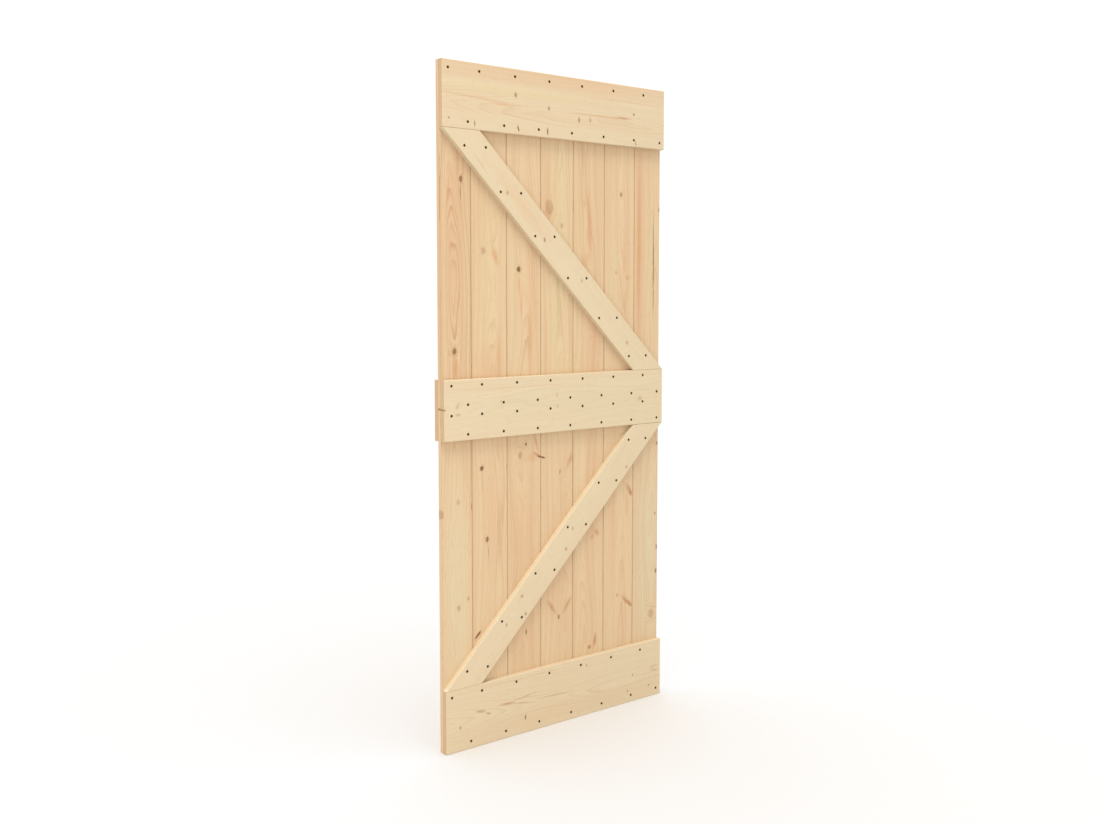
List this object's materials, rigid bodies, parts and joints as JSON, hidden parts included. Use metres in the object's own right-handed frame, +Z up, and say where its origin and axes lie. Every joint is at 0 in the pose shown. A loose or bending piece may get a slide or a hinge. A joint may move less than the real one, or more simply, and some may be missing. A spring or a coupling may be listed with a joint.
{
  "type": "sliding barn door",
  "caption": "Ledged and braced leaf of a sliding barn door in raw pine: tongue-and-groove boards with rails and K-shaped braces screwed to the front and a rail at the back.",
  "frame": {"origin": "on the underside of the leaf, centred across its width and its depth", "axes": "+X to the right seen from the braced front, +Y from the front towards the back, +Z up along the boards"},
  "size_m": [0.9, 0.054, 2.1],
  "materials": {
    "board_pine": "planed, unfinished knotty pine, warm",
    "batten_pine": "planed, unfinished pine, pale",
    "screw_steel": "dark phosphated steel, matt"
  },
  "bodies": {
    "root": {"board_1": "board_pine", "board_2": "board_pine", "board_3": "board_pine", "board_4": "board_pine", "board_5": "board_pine", "board_6": "board_pine", "board_7": "board_pine", "front_top_rail": "batten_pine", "front_mid_rail": "batten_pine", "front_bottom_rail": "batten_pine", "back_mid_rail": "batten_pine", "upper_brace": "batten_pine", "lower_brace": "batten_pine", "top_rail_screws": "screw_steel", "bottom_rail_screws": "screw_steel", "mid_rail_short_screws": "screw_steel", "mid_rail_long_screws": "screw_steel", "upper_brace_screws": "screw_steel", "lower_brace_screws": "screw_steel"}
  },
  "joints": []
}
